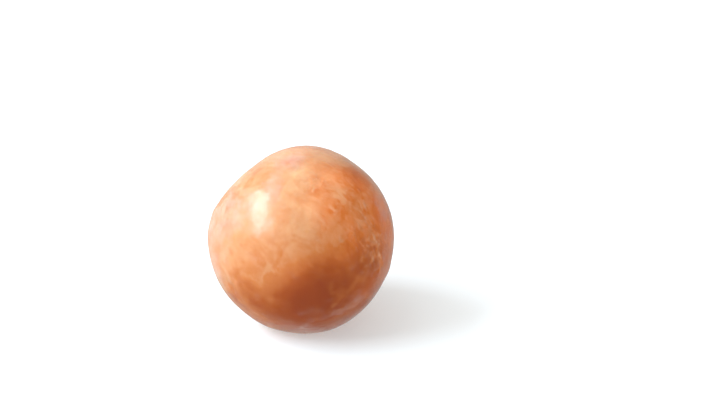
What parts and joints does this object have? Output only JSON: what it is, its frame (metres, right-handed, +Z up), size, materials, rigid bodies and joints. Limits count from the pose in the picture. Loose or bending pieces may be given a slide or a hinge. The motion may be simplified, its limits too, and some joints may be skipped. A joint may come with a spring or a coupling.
{
  "type": "glazed doughnut hole",
  "caption": "Ball of fried dough with a thin sugar glaze, a little uneven all round, resting on a small flat foot.",
  "frame": {"origin": "on the resting plane, under the middle of the ball", "axes": "+Z up; the side that faces the camera in the picture faces -Y, and its right side is +X"},
  "size_m": [0.0404, 0.04, 0.0387],
  "materials": {
    "glazed_crust": "golden to chestnut fried crust, mottled, under a thin glossy sugar glaze"
  },
  "bodies": {
    "root": {"doughnut_hole": "glazed_crust"}
  },
  "joints": []
}
